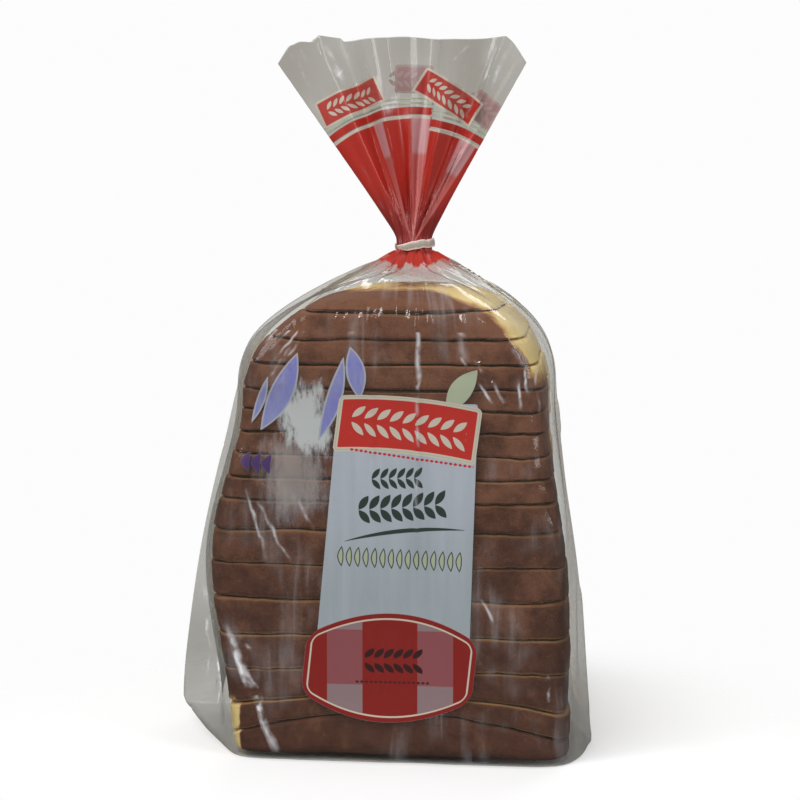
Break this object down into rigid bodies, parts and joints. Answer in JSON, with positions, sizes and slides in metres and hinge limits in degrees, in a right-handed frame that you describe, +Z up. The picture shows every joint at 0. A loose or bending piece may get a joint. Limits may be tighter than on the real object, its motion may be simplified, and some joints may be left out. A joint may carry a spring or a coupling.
{
  "type": "bagged sliced loaf",
  "caption": "Sliced loaf of dark-crusted bread standing on end in a clear printed bag, tied at the neck and fanned out above.",
  "frame": {"origin": "on the flat foot, under the middle of the loaf", "axes": "+Z up through the neck, -Y out of the printed front, +X to the right seen from the front"},
  "size_m": [0.1778, 0.1176, 0.2928],
  "materials": {
    "bagged_loaf": "brown crust under clear glossy film",
    "band": "pale satin band",
    "film": "thin clear glossy film with printed fields",
    "crust": "matt baked crust",
    "crumb": "matt open crumb"
  },
  "bodies": {
    "root": {"bread_bag": "bagged_loaf", "neck_band": "band"}
  },
  "joints": []
}
